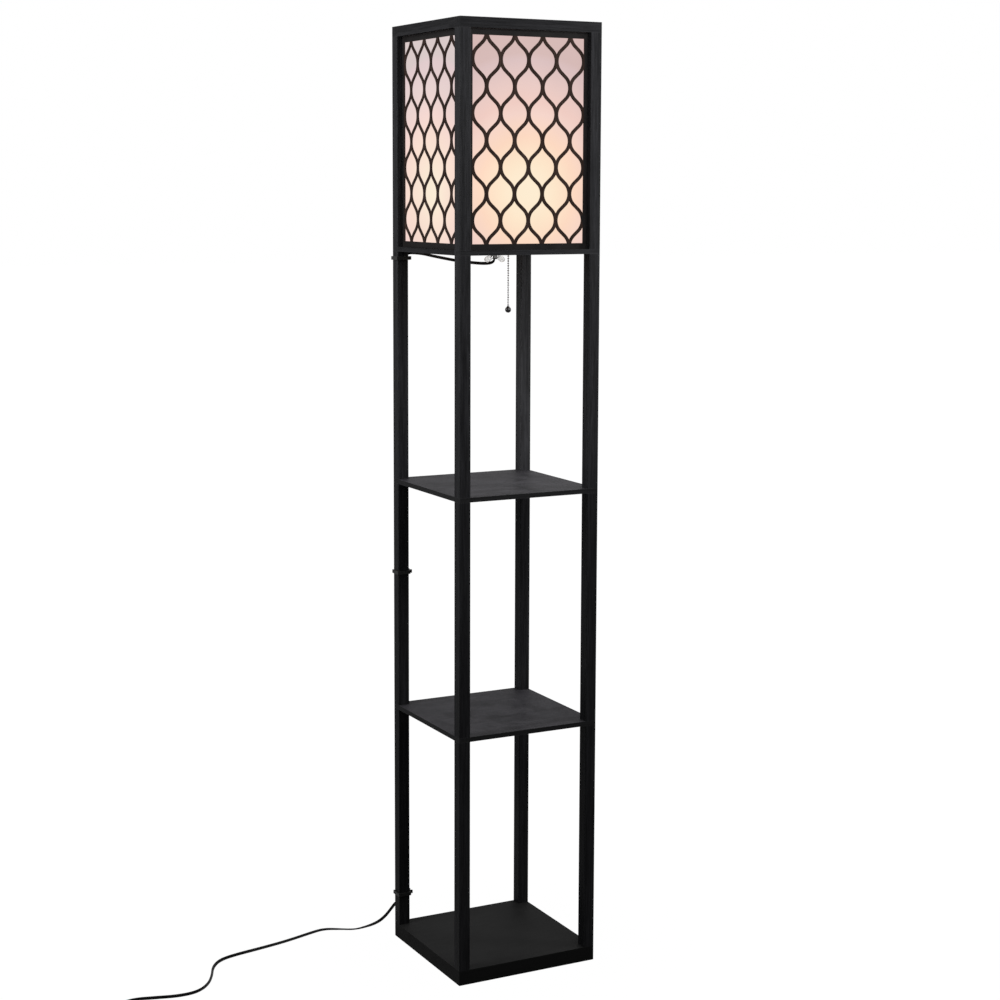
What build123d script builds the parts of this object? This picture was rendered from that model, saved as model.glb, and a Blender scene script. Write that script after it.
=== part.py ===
from build123d import *
import os
from math import acos, atan2, cos, degrees, pi, radians, sin, sqrt, tan

# Shelf floor lamp: a square tower of posts and shelves that carries a lit fretwork shade.
# Millimetres, +Z up, origin on the floor in the middle of the base.
# The front faces -Y and the left side faces -X.

# Tower
lamp_width = 260.0
post_side = 20.0
post_edge = 0.8
base_thickness = 25.0
shelf_thickness = 8.0
tier_post_length = 393.5

# Fixings of the tower
stud_diameter = 6.0
stud_reach = 22.0
fixing_clearance = 0.15
fixing_facets = 6
bore_end_room = 2.0
screw_head_diameter = 11.0
screw_head_height = 4.0
screw_head_sunk = 1.0
dowel_diameter = 8.0
dowel_in_rail = 12.0
dowel_in_post = 18.0

# Shade box
shade_rail_thickness = 8.0
shade_post_length = 353.5
top_rail_height = 17.0
crossbar_width = 30.0
panel_recess = 10.0
panel_play = 0.3
lattice_thickness = 2.0
liner_thickness = 0.6
groove_depth = 4.0
groove_play = 0.15

# Ogee lattice
lattice_side_border = 7.6
lattice_end_border = 10.0
lattice_columns = 4
lattice_rows = 4
end_node_hidden = 5.25
strand_width = 5.6
node_width = 7.5
strand_slope = 48.0
bulge_steps = 2
tip_steps = 1

# Lamp holder, on the tower's axis
turned_facets = 16
thread_clearance = 0.15
nipple_diameter = 10.0
nipple_below = 11.0
nipple_above = 7.0
nut_hub_diameter = 15.0
nut_hub_height = 9.0
nut_flange_diameter = 19.0
nut_flange_height = 2.0
wing_thickness = 3.2
wing_root = (5.5, -6.0)
wing_root_radius = 3.4
wing_tip = (14.0, -11.6)
wing_tip_radius = 4.8
holder_diameter = 39.0
holder_wall = 1.8
cap_height = 10.5
cap_floor = 2.5
cap_foot_diameter = 28.0
switch_level = 24.0
socket_depth = 28.0
socket_clearance = 0.4

# Switch and pull chain
chain_reach = 26.0
boss_radius = 8.0
cavity_half_width = 3.4
cavity_floor = 2.0
cavity_roof = 3.0
cavity_end_room = 4.5
cavity_tail_room = 0.9
lever_arm = 13.0
lever_tail = 3.0
lever_overhang = 3.0
lever_width = 4.0
lever_thickness = 1.4
lever_height = 11.5
lever_rest_tilt = 15.5
fork_slot = 1.8
fork_slot_length = 5.0
lever_pin_diameter = 2.4
lever_pin_half_length = 6.5
bead_diameter = 3.2
bead_pitch = 4.1
bead_bevel = 0.64
bead_sides = 6
chain_wire = 0.9
chain_neck = 6.0
bead_on_lever_gap = 0.4
top_beads = 6
swing_beads = 12
guide_bore = 4.2
guide_wall = 1.1
guide_flange_diameter = 10.0
guide_flange_thickness = 1.2
guide_mouth_drop = 6.0
guide_mouth_flare = 1.3
ball_diameter = 10.5
ball_neck_diameter = 4.0
ball_neck_height = 2.0
ball_gap = 0.2
ball_steps = 6
ball_foot_angle = radians(20)

# Bulb
bulb_thread_diameter = 26.0
bulb_thread_clearance = 0.4
screw_shell_thickness = 0.6
shell_floor_ring = 2.4
contact_height = 5.0
contact_gap = 0.3
contact_width = 6.0
contact_thickness = 0.6
contact_tip_offset = 3.0
bulb_cap_height = 24.0
bulb_foot_diameter = 9.0
bulb_foot_height = 5.0
bulb_foot_straight = 1.7
glass_profile = ((12.8, 0.0), (13.5, 4.0), (18.0, 14.0), (23.0, 23.0), (25.0, 32.0),
                 (24.0, 41.0), (19.5, 50.0), (12.0, 55.5), (3.0, 58.0))

# Mains cord
cord_diameter = 5.0
cord_facets = 4
cord_clearance = 0.3
coil_centre = (-705.0, 8.0)
coil_radius = 30.0
coil_pitch = 5.6
coil_half_turns = 2
coil_reversal_step = 2.6
tie_thickness = 0.8
tie_width = 5.0
low_clip_rise = 55.5
middle_clip_rise = 236.5
top_clip_drop = 11.5
clip_wall = 1.8
clip_height = 6.0
clip_jaw_reach = 8.5
clip_lip_flare = 1.4
clip_lip_length = 2.4
cord_along_post = 2.0
plug_width = 26.0
plug_length = 24.0
plug_edge = 3.0
relief_length = 26.0
relief_root_radius = 4.6
relief_tip_radius = 3.2
blade_width = 6.35
blade_thickness = 1.5
blade_length = 16.0
blade_spacing = 12.7

# Places that follow from the sizes
half_width = lamp_width / 2
post_centre = half_width - post_side / 2
clear_span = lamp_width - 2 * post_side
stud_bore = stud_diameter + 2 * fixing_clearance
dowel_bore = dowel_diameter + 2 * fixing_clearance
lower_shelf_z = base_thickness + tier_post_length
middle_post_z = lower_shelf_z + shelf_thickness
upper_shelf_z = middle_post_z + tier_post_length
upper_post_z = upper_shelf_z + shelf_thickness
shade_rail_z = upper_post_z + tier_post_length
shade_post_z = shade_rail_z + shade_rail_thickness
top_rail_z = shade_post_z + shade_post_length
post_inner_face = -half_width + post_side
clip_heights = (
    base_thickness + low_clip_rise,
    middle_post_z + middle_clip_rise,
    shade_rail_z - top_clip_drop,
)
cord_bore = cord_diameter + 2 * cord_clearance
cord_x = post_inner_face + cord_bore / 2
cord_y = post_centre + cord_along_post
nipple_hole = nipple_diameter / 2 + thread_clearance
corners = {
    "front_left": (-1, -1),
    "front_right": (1, -1),
    "back_left": (-1, 1),
    "back_right": (1, 1),
}
sides = {"front": (0, -1), "right": (1, 0), "back": (0, 1), "left": (-1, 0)}

os.makedirs("parts", exist_ok=True)


def save(piece, name):
    piece.part.label = name
    export_step(piece.part, f"parts/{name}.step")


# Base and shelves; the shelves are notched at the back, beside the rear left post, for the cord
with BuildPart() as base_board:
    with BuildSketch():
        Rectangle(lamp_width, lamp_width)
    extrude(amount=base_thickness)
    chamfer(base_board.edges().filter_by(Axis.Z), post_edge)
    with BuildSketch():
        with GridLocations(2 * post_centre, 2 * post_centre, 2, 2):
            RegularPolygon(stud_bore / 2, fixing_facets)
    extrude(amount=base_thickness, mode=Mode.SUBTRACT)
    with BuildSketch():
        with GridLocations(2 * post_centre, 2 * post_centre, 2, 2):
            RegularPolygon(screw_head_diameter / 2 + fixing_clearance, fixing_facets)
    extrude(amount=screw_head_sunk + screw_head_height, mode=Mode.SUBTRACT)
save(base_board, "base_board")


def shelf(name, height):
    notch_depth = half_width - cord_y + cord_bore / 2
    with BuildPart() as board:
        with BuildSketch(Plane.XY.offset(height)):
            Rectangle(lamp_width, lamp_width)
            with GridLocations(2 * post_centre, 2 * post_centre, 2, 2):
                RegularPolygon(stud_bore / 2, fixing_facets, mode=Mode.SUBTRACT)
            with Locations((cord_x, half_width - notch_depth / 2)):
                Rectangle(cord_bore, notch_depth, mode=Mode.SUBTRACT)
        extrude(amount=shelf_thickness)
        upright_edges = board.edges().filter_by(Axis.Z)
        outer_corners = upright_edges.group_by(lambda edge: edge.center().X ** 2 + edge.center().Y ** 2)[-1]
        chamfer(outer_corners, post_edge)
    save(board, name)


shelf("lower_shelf", lower_shelf_z)
shelf("upper_shelf", upper_shelf_z)


# Posts of the three open tiers
def tier_post(name, side_x, side_y, foot):
    axis_place = (side_x * post_centre, side_y * post_centre)
    with BuildPart() as post:
        with BuildSketch(Plane.XY.offset(foot)):
            with Locations(axis_place):
                Rectangle(post_side, post_side)
        extrude(amount=tier_post_length)
        chamfer(post.edges().filter_by(Axis.Z), post_edge)
        for end, inward in ((foot, 1), (foot + tier_post_length, -1)):
            with BuildSketch(Plane.XY.offset(end)):
                with Locations(axis_place):
                    RegularPolygon(stud_bore / 2, fixing_facets)
            extrude(amount=inward * (stud_reach + bore_end_room), mode=Mode.SUBTRACT)
    save(post, name)


for tier, foot in (("lower", base_thickness), ("middle", middle_post_z), ("upper", upper_post_z)):
    for corner, (side_x, side_y) in corners.items():
        tier_post(f"{tier}_post_{corner}", side_x, side_y, foot)

# Studs through the shelves and the shade's bottom frame
with BuildPart() as tier_studs:
    for board_z, thickness in (
        (lower_shelf_z, shelf_thickness),
        (upper_shelf_z, shelf_thickness),
        (shade_rail_z, shade_rail_thickness),
    ):
        with BuildSketch(Plane.XY.offset(board_z - stud_reach)):
            with GridLocations(2 * post_centre, 2 * post_centre, 2, 2):
                RegularPolygon(stud_diameter / 2, fixing_facets)
        extrude(amount=thickness + 2 * stud_reach)
save(tier_studs, "tier_studs")

# Screws up through the base, their heads sunk
with BuildPart() as base_screws:
    with BuildSketch(Plane.XY.offset(screw_head_sunk)):
        with GridLocations(2 * post_centre, 2 * post_centre, 2, 2):
            RegularPolygon(screw_head_diameter / 2, fixing_facets)
    extrude(amount=screw_head_height)
    with BuildSketch(Plane.XY.offset(screw_head_sunk)):
        with GridLocations(2 * post_centre, 2 * post_centre, 2, 2):
            RegularPolygon(stud_diameter / 2, fixing_facets)
    extrude(amount=base_thickness - screw_head_sunk + stud_reach)
save(base_screws, "base_screws")

# Bottom frame of the shade
for side, sign in (("front", -1), ("back", 1)):
    with BuildPart() as shade_rail:
        with BuildSketch(Plane.XY.offset(shade_rail_z)):
            with Locations((0, sign * post_centre)):
                Rectangle(lamp_width, post_side)
                with GridLocations(2 * post_centre, 0, 2, 1):
                    RegularPolygon(stud_bore / 2, fixing_facets, mode=Mode.SUBTRACT)
        extrude(amount=shade_rail_thickness)
        upright_edges = shade_rail.edges().filter_by(Axis.Z)
        chamfer(upright_edges.group_by(Axis.Y)[-1 if sign > 0 else 0], post_edge)
    save(shade_rail, f"shade_rail_{side}")
for side, sign in (("left", -1), ("right", 1)):
    with BuildPart() as shade_rail:
        with BuildSketch(Plane.XY.offset(shade_rail_z)):
            with Locations((sign * post_centre, 0)):
                Rectangle(post_side, clear_span)
        extrude(amount=shade_rail_thickness)
    save(shade_rail, f"shade_rail_{side}")

# Crossbar that carries the lamp holder
with BuildPart() as socket_crossbar:
    with BuildSketch(Plane.XY.offset(shade_rail_z)):
        Rectangle(crossbar_width, clear_span)
        RegularPolygon(nipple_hole, turned_facets, mode=Mode.SUBTRACT)
    extrude(amount=shade_rail_thickness)
save(socket_crossbar, "socket_crossbar")

# Posts of the shade, grooved for the panels
panel_face = half_width - panel_recess
sheet_stack = lattice_thickness + liner_thickness
groove_centre = panel_face - sheet_stack / 2
groove_width = sheet_stack + 2 * groove_play
groove_middle = clear_span / 2 + groove_depth / 2
for corner, (side_x, side_y) in corners.items():
    axis_place = (side_x * post_centre, side_y * post_centre)
    with BuildPart() as shade_post:
        with BuildSketch(Plane.XY.offset(shade_post_z)):
            with Locations(axis_place):
                Rectangle(post_side, post_side)
        extrude(amount=shade_post_length)
        chamfer(shade_post.edges().filter_by(Axis.Z), post_edge)
        with BuildSketch(Plane.XY.offset(shade_post_z)):
            with Locations((side_x * groove_middle, side_y * groove_centre)):
                Rectangle(groove_depth, groove_width)
            with Locations((side_x * groove_centre, side_y * groove_middle)):
                Rectangle(groove_width, groove_depth)
        extrude(amount=shade_post_length, mode=Mode.SUBTRACT)
        with BuildSketch(Plane.XY.offset(shade_post_z)):
            with Locations(axis_place):
                RegularPolygon(stud_bore / 2, fixing_facets)
        extrude(amount=stud_reach + bore_end_room, mode=Mode.SUBTRACT)
        with BuildSketch(Plane.XY.offset(top_rail_z)):
            with Locations(axis_place):
                RegularPolygon(dowel_bore / 2, fixing_facets)
        extrude(amount=-dowel_in_post - bore_end_room, mode=Mode.SUBTRACT)
    save(shade_post, f"shade_post_{corner}")

# Top frame
for side, sign in (("front", -1), ("back", 1)):
    with BuildPart() as top_rail:
        with BuildSketch(Plane.XY.offset(top_rail_z)):
            with Locations((0, sign * post_centre)):
                Rectangle(lamp_width, post_side)
        extrude(amount=top_rail_height)
        chamfer(top_rail.edges().filter_by(Axis.Z).group_by(Axis.Y)[-1 if sign > 0 else 0], post_edge)
        with BuildSketch(Plane.XY.offset(top_rail_z)):
            with Locations((0, sign * post_centre)):
                with GridLocations(2 * post_centre, 0, 2, 1):
                    RegularPolygon(dowel_bore / 2, fixing_facets)
        extrude(amount=dowel_in_rail + fixing_clearance, mode=Mode.SUBTRACT)
    save(top_rail, f"top_rail_{side}")
for side, sign in (("left", -1), ("right", 1)):
    with BuildPart() as top_rail:
        with BuildSketch(Plane.XY.offset(top_rail_z)):
            with Locations((sign * post_centre, 0)):
                Rectangle(post_side, clear_span)
        extrude(amount=top_rail_height)
    save(top_rail, f"top_rail_{side}")
with BuildPart() as top_dowels:
    with BuildSketch(Plane.XY.offset(top_rail_z - dowel_in_post)):
        with GridLocations(2 * post_centre, 2 * post_centre, 2, 2):
            RegularPolygon(dowel_diameter / 2, fixing_facets)
    extrude(amount=dowel_in_post + dowel_in_rail)
save(top_dowels, "top_dowels")

# Fretwork panels: an ogee lattice whose strands meet side by side at each node
panel_width = clear_span + 2 * (groove_depth - panel_play)
panel_height = shade_post_length - panel_play
opening_width = clear_span - 2 * lattice_side_border
opening_height = panel_height - 2 * lattice_end_border
pitch_across = opening_width / lattice_columns
pitch_up = (opening_height + 2 * end_node_hidden) / lattice_rows
node_offset = (node_width - strand_width) / 2
slope = radians(strand_slope)
strand_rise = pitch_up / 2
strand_run = pitch_across / 2 - 2 * node_offset
strand_radius = (strand_rise * sin(slope) - strand_run * cos(slope)) / (2 * (1 - cos(slope)))
bulge_radius = strand_radius - strand_width / 2
tip_radius = strand_radius + strand_width / 2
tip_angle = acos((node_offset + strand_radius) / tip_radius)


def ogee_quarter():
    """Upper right edge of one opening, from its widest place up to its tip."""
    points = []
    for step in range(bulge_steps + 1):
        turn = slope * step / bulge_steps
        across = pitch_across / 2 - node_offset - strand_radius + bulge_radius * cos(turn)
        points.append((across, bulge_radius * sin(turn)))
    for step in range(tip_steps + 1):
        turn = slope + (tip_angle - slope) * step / tip_steps
        across = node_offset + strand_radius - tip_radius * cos(turn)
        points.append((across, strand_rise - tip_radius * sin(turn)))
    return points


quarter = ogee_quarter()
upper_edge = quarter + [(-across, up) for across, up in reversed(quarter[:-1])]
lower_edge = [(-across, -up) for across, up in upper_edge[1:-1]]
with BuildSketch() as ogee_opening:
    with BuildLine():
        Polyline(*upper_edge, *lower_edge, close=True)
    make_face()
with BuildSketch() as openings:
    with GridLocations(pitch_across, pitch_up, lattice_columns, lattice_rows):
        add(ogee_opening.sketch)
    with GridLocations(pitch_across, pitch_up, lattice_columns + 1, lattice_rows + 1):
        add(ogee_opening.sketch)
    Rectangle(opening_width, opening_height, mode=Mode.INTERSECT)


def side_plane(normal, distance):
    """Upright plane on one side of the shade, at the panels' middle height, facing outward."""
    return Plane(
        origin=(normal[0] * distance, normal[1] * distance, shade_post_z + panel_height / 2),
        x_dir=(-normal[1], normal[0], 0),
        z_dir=(normal[0], normal[1], 0),
    )


for side, normal in sides.items():
    with BuildPart() as lattice_panel:
        with BuildSketch(side_plane(normal, panel_face)):
            Rectangle(panel_width, panel_height)
            add(openings.sketch, mode=Mode.SUBTRACT)
        extrude(amount=-lattice_thickness)
    save(lattice_panel, f"lattice_{side}")
    with BuildPart() as liner:
        with BuildSketch(side_plane(normal, panel_face - lattice_thickness)):
            Rectangle(panel_width, panel_height)
        extrude(amount=-liner_thickness)
    save(liner, f"liner_{side}")

# Threaded nipple and the wing nut that clamps it under the crossbar
nipple_foot = shade_rail_z - nipple_below
with BuildPart() as threaded_nipple:
    with BuildSketch(Plane.XY.offset(nipple_foot)):
        RegularPolygon(nipple_diameter / 2, turned_facets)
        RegularPolygon(cord_bore / 2, turned_facets, mode=Mode.SUBTRACT)
    extrude(amount=nipple_below + shade_rail_thickness + nipple_above)
save(threaded_nipple, "threaded_nipple")

with BuildPart() as wing_nut:
    with BuildSketch(Plane.XY.offset(shade_rail_z)):
        RegularPolygon(nut_hub_diameter / 2, turned_facets)
    extrude(amount=-nut_hub_height)
    with BuildSketch(Plane.XY.offset(shade_rail_z)):
        RegularPolygon(nut_flange_diameter / 2, turned_facets)
    extrude(amount=-nut_flange_height)
    for sign in (-1, 1):
        with BuildSketch(Plane.XZ):
            with Locations((sign * wing_root[0], shade_rail_z + wing_root[1])):
                RegularPolygon(wing_root_radius, turned_facets)
            with Locations((sign * wing_tip[0], shade_rail_z + wing_tip[1])):
                RegularPolygon(wing_tip_radius, turned_facets)
            make_hull()
        extrude(amount=wing_thickness / 2, both=True)
    with BuildSketch(Plane.XY.offset(shade_rail_z)):
        RegularPolygon(nipple_hole, turned_facets)
    extrude(amount=-nut_hub_height - nipple_below, mode=Mode.SUBTRACT)
save(wing_nut, "wing_nut")

# Lamp holder: cap below, body with the switch boss above
holder_radius = holder_diameter / 2
holder_z = shade_post_z + cap_height
socket_floor = holder_z + switch_level
bulb_thread_radius = bulb_thread_diameter / 2
shell_inner = bulb_thread_radius + bulb_thread_clearance
shell_outer = shell_inner + screw_shell_thickness
socket_radius = shell_outer + socket_clearance


def tapered(wide_radius, narrow_radius, length):
    """A faceted frustum that stands on its wide end at the origin."""
    inward = (wide_radius - narrow_radius) * cos(pi / turned_facets)
    with BuildPart() as frustum:
        with BuildSketch():
            RegularPolygon(wide_radius, turned_facets)
        extrude(amount=length, taper=degrees(atan2(inward, length)))
    return frustum.part


def turned(profile, base, axis_x=0.0):
    """A turned solid in facets: (radius, height) points above base, about an upright axis at axis_x."""
    with BuildPart() as solid:
        for (radius, height), (next_radius, next_height) in zip(profile, profile[1:]):
            upright = radius >= next_radius
            with Locations((axis_x, 0, base + (height if upright else next_height))):
                add(
                    tapered(max(radius, next_radius), min(radius, next_radius), next_height - height),
                    rotation=(0 if upright else 180, 0, 0),
                )
    return solid.part


cap_shoulder = cap_height / 2
cap_foot_radius = cap_foot_diameter / 2
cap_outside = ((cap_foot_radius, 0), (holder_radius, cap_shoulder), (holder_radius, cap_height))
cap_inside = (
    (cap_foot_radius - holder_wall, cap_floor),
    (holder_radius - holder_wall, cap_shoulder),
    (holder_radius - holder_wall, cap_height),
)
with BuildPart() as holder_cap:
    add(turned(cap_outside, shade_post_z))
    add(turned(cap_inside, shade_post_z), mode=Mode.SUBTRACT)
    add(turned(((nipple_hole, 0), (nipple_hole, cap_floor)), shade_post_z), mode=Mode.SUBTRACT)
save(holder_cap, "holder_cap")

lever_pivot = (chain_reach - lever_arm, holder_z + lever_height)
with BuildPart() as holder_body:
    with BuildSketch(Plane.XY.offset(holder_z)):
        RegularPolygon(holder_radius, turned_facets)
    extrude(amount=switch_level + socket_depth)
    with BuildSketch(Plane.XY.offset(holder_z)):
        with Locations((chain_reach, 0)):
            RegularPolygon(boss_radius, turned_facets)
        with Locations((chain_reach / 2, 0)):
            Rectangle(chain_reach, 2 * boss_radius)
    extrude(amount=switch_level)
    with BuildSketch(Plane.XY.offset(socket_floor)):
        RegularPolygon(socket_radius, turned_facets)
    extrude(amount=socket_depth, mode=Mode.SUBTRACT)
    cavity_start = lever_pivot[0] - lever_tail - cavity_tail_room
    cavity_length = chain_reach + cavity_end_room - cavity_start
    with BuildSketch(Plane.XY.offset(holder_z + cavity_floor)):
        with Locations((cavity_start + cavity_length / 2, 0)):
            Rectangle(cavity_length, 2 * cavity_half_width)
    extrude(amount=switch_level - cavity_floor - cavity_roof, mode=Mode.SUBTRACT)
    with BuildSketch(Plane.XY.offset(holder_z)):
        with Locations((chain_reach, 0)):
            RegularPolygon(guide_bore / 2 + guide_wall + fixing_clearance, turned_facets)
    extrude(amount=cavity_floor, mode=Mode.SUBTRACT)
    with BuildSketch(Plane.XZ):
        with Locations(lever_pivot):
            Circle(lever_pin_diameter / 2 + fixing_clearance)
    extrude(amount=lever_pin_half_length + fixing_clearance, both=True, mode=Mode.SUBTRACT)
save(holder_body, "holder_body")

shell_mouth = socket_depth - screw_shell_thickness
shell_floor_hole = shell_inner - shell_floor_ring
shell_outside = ((shell_outer, 0), (shell_outer, shell_mouth))
shell_inside = ((shell_inner, screw_shell_thickness), (shell_inner, shell_mouth))
shell_opening = ((shell_floor_hole, 0), (shell_floor_hole, screw_shell_thickness))
with BuildPart() as screw_shell:
    add(turned(shell_outside, socket_floor))
    add(turned(shell_inside, socket_floor), mode=Mode.SUBTRACT)
    add(turned(shell_opening, socket_floor), mode=Mode.SUBTRACT)
save(screw_shell, "screw_shell")

# Sprung tongue that meets the foot of the bulb
tongue_foot = -bulb_foot_diameter / 2
tongue_tip = contact_tip_offset
tongue_slope = atan2(contact_height, tongue_tip - tongue_foot)
tongue_under = contact_thickness / tan(tongue_slope) + contact_thickness / sin(tongue_slope)
with BuildPart() as centre_contact:
    with BuildSketch(Plane.XZ):
        with BuildLine():
            Polyline(
                (bulb_foot_diameter, socket_floor),
                (tongue_foot, socket_floor),
                (tongue_tip, socket_floor + contact_height),
                (
                    tongue_tip + contact_thickness * sin(tongue_slope),
                    socket_floor + contact_height - contact_thickness * cos(tongue_slope),
                ),
                (tongue_foot + tongue_under, socket_floor + contact_thickness),
                (bulb_foot_diameter, socket_floor + contact_thickness),
                close=True,
            )
        make_face()
    extrude(amount=contact_width / 2, both=True)
save(centre_contact, "centre_contact")

# Bulb
bulb_foot_z = socket_floor + contact_height + contact_gap
cap_profile = (
    (bulb_foot_diameter / 2, 0),
    (bulb_foot_diameter / 2, bulb_foot_straight),
    (bulb_thread_radius, bulb_foot_height),
    (bulb_thread_radius, bulb_cap_height),
)
with BuildPart() as bulb_cap:
    add(turned(cap_profile, bulb_foot_z))
save(bulb_cap, "bulb_cap")
with BuildPart() as bulb_glass:
    add(turned(glass_profile, bulb_foot_z + bulb_cap_height))
save(bulb_glass, "bulb_glass")

# Switch lever, tilted up at rest, with a fork that the chain's top bead sits on
tilt = radians(lever_rest_tilt)
lever_plane = Plane(
    origin=(lever_pivot[0], 0, lever_pivot[1]),
    x_dir=(cos(tilt), 0, sin(tilt)),
    z_dir=(-sin(tilt), 0, cos(tilt)),
)
lever_length = lever_tail + lever_arm + lever_overhang
with BuildPart() as pull_lever:
    with BuildSketch(lever_plane):
        with Locations((lever_length / 2 - lever_tail, 0)):
            Rectangle(lever_length, lever_width)
        with Locations((lever_arm + lever_overhang - fork_slot_length / 2, 0)):
            Rectangle(fork_slot_length, fork_slot, mode=Mode.SUBTRACT)
    extrude(amount=lever_thickness / 2, both=True)
    with BuildSketch(Plane.XZ):
        with Locations(lever_pivot):
            Circle(lever_pin_diameter / 2)
    extrude(amount=lever_pin_half_length, both=True)
save(pull_lever, "pull_lever")

# Bell-mouthed guide where the chain leaves the boss
guide_radius = guide_bore / 2
guide_outer = guide_radius + guide_wall
guide_top = guide_mouth_drop + cavity_floor
flange_foot = guide_mouth_drop - guide_flange_thickness
guide_outside = (
    (guide_outer + guide_mouth_flare, 0),
    (guide_outer, flange_foot),
    (guide_outer, guide_top),
)
guide_inside = (
    (guide_radius + guide_mouth_flare, 0),
    (guide_radius, flange_foot),
    (guide_radius, guide_top),
)
guide_flange = ((guide_flange_diameter / 2, flange_foot), (guide_flange_diameter / 2, guide_mouth_drop))
with BuildPart() as chain_guide:
    add(turned(guide_outside, holder_z - guide_mouth_drop, chain_reach))
    add(turned(guide_flange, holder_z - guide_mouth_drop, chain_reach))
    add(turned(guide_inside, holder_z - guide_mouth_drop, chain_reach), mode=Mode.SUBTRACT)
save(chain_guide, "chain_guide")

# Bead chain in three lengths, and its ball
lever_top = lever_pivot[1] + lever_arm * tan(tilt) + lever_thickness / 2 / cos(tilt)
top_bead_z = lever_top + bead_on_lever_gap + bead_diameter / 2
second_bead_z = top_bead_z - chain_neck
swing_z = second_bead_z - (top_beads - 0.5) * bead_pitch
upper_bead_z = swing_z - bead_pitch / 2
lower_swing_z = swing_z - swing_beads * bead_pitch
lower_bead_z = lower_swing_z - bead_pitch / 2
with BuildPart() as bead:
    with BuildSketch():
        RegularPolygon(bead_diameter / 2, bead_sides)
    extrude(amount=bead_diameter / 2, both=True)
    bead_rims = bead.edges().group_by(Axis.Z)
    chamfer(bead_rims[0] + bead_rims[-1], bead_bevel)


def chain_length(name, heights):
    with BuildPart() as chain:
        with BuildSketch(Plane.XY.offset(heights[-1])):
            with Locations((chain_reach, 0)):
                Rectangle(chain_wire, chain_wire)
        extrude(amount=heights[0] - heights[-1])
        with Locations(*[(chain_reach, 0, height) for height in heights]):
            add(bead.part)
    save(chain, name)


def beads_down(first, count):
    return [first - step * bead_pitch for step in range(count)]


chain_length("chain_top", [top_bead_z] + beads_down(second_bead_z, top_beads))
chain_length("chain_upper", beads_down(upper_bead_z, swing_beads))
chain_length("chain_lower", beads_down(lower_bead_z, swing_beads))

chain_end_z = lower_bead_z - (swing_beads - 1) * bead_pitch - bead_diameter / 2
neck_top_z = chain_end_z - ball_gap
ball_radius = ball_diameter / 2
neck_angle = acos(ball_neck_diameter / ball_diameter)
ball_z = neck_top_z - ball_neck_height - ball_radius * sin(neck_angle)
ball_turn = (pi / 2 + neck_angle - ball_foot_angle) / ball_steps
ball_arc = [ball_foot_angle - pi / 2 + step * ball_turn for step in range(ball_steps + 1)]
ball_profile = [(ball_radius * cos(turn), ball_radius * sin(turn)) for turn in ball_arc]
neck_radius = ball_neck_diameter / 2
neck_profile = ((neck_radius, 0), (neck_radius, neck_top_z - ball_z))
with BuildPart() as chain_ball:
    add(turned(ball_profile, ball_z, chain_reach))
    add(turned(neck_profile, ball_z, chain_reach))
save(chain_ball, "chain_ball")

# Cable clips on the rear left post: a band open towards +X, with two jaws that hold the cord
band_inner = post_side + 2 * fixing_clearance
band_outer = band_inner + 2 * clip_wall
with BuildPart() as cable_clip:
    with BuildSketch():
        with Locations((-post_centre, post_centre)):
            Rectangle(band_outer, band_outer)
            Rectangle(band_inner, band_inner, mode=Mode.SUBTRACT)
        with Locations((post_inner_face + cord_bore / 2, cord_y)):
            Rectangle(cord_bore, cord_bore, mode=Mode.SUBTRACT)
        jaw_start = post_inner_face + fixing_clearance
        for sign in (-1, 1):
            inner = cord_y + sign * cord_bore / 2
            outer = inner + sign * clip_wall
            with BuildLine():
                Polyline(
                    (jaw_start, inner),
                    (jaw_start + clip_jaw_reach - clip_lip_length, inner),
                    (jaw_start + clip_jaw_reach, inner + sign * clip_lip_flare),
                    (jaw_start + clip_jaw_reach, outer + sign * clip_lip_flare),
                    (jaw_start + clip_jaw_reach - clip_lip_length, outer),
                    (jaw_start, outer),
                    close=True,
                )
            make_face()
    extrude(amount=clip_height / 2, both=True)
with BuildPart() as cable_clips:
    with Locations(*[(0, 0, height) for height in clip_heights]):
        add(cable_clip.part)
save(cable_clips, "cable_clips")

# Mains cord: points of its route, from the nipple to the coil of spare length
coil_z = cord_diameter / 2 + cord_clearance + tie_thickness
coil_start = (coil_centre[0], coil_centre[1] + coil_radius, coil_z)
held_end = (cord_x, cord_y, 76)
upper_route = [
    (0, 0, nipple_foot + 5.5),
    (0, 0, 1209),
    (-3.5, 3.8, 1203.8),
    (-14, 15, 1202.6),
    (-30, 32.5, 1204),
    (-47, 51, 1206.8),
    (-63, 68, 1210.6),
    (-77, 83, 1214.2),
    (-88, 95, 1217.6),
    (-98, 106, 1218.7),
    (-104.2, 115, 1218.7),
    (-106.4, 119.4, 1217.9),
    (cord_x, cord_y, 1213.8),
    held_end,
]
floor_route = [
    held_end,
    (cord_x, cord_y, 68),
    (cord_x + 0.3, 129.5, 63.5),
    (-112.5, 138.5, 60),
    (-120.5, 147, 53.5),
    (-126.5, 157, 38),
    (-131, 167, 24.6),
    (-137.5, 177, 12.9),
    (-147, 184, 5.4),
    (-165, 184, 2.6),
    (-187, 181, 2.6),
    (-210, 195, 2.6),
    (-236, 209, 2.6),
    (-268, 200, 2.6),
    (-318, 184, 2.6),
    (-372, 173, 2.6),
    (-420, 165, 2.6),
    (-451, 155, 2.6),
    (-473, 130, 2.6),
    (-487, 94, 2.6),
    (-505, 62, 2.6),
    (-531, 40, 2.6),
    (-565, 38, 2.6),
    (-602, 49, 2.6),
    (-635, 58, 2.7),
    (-664, 49, 3),
    (-686, coil_start[1], coil_z),
    coil_start,
]


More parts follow.
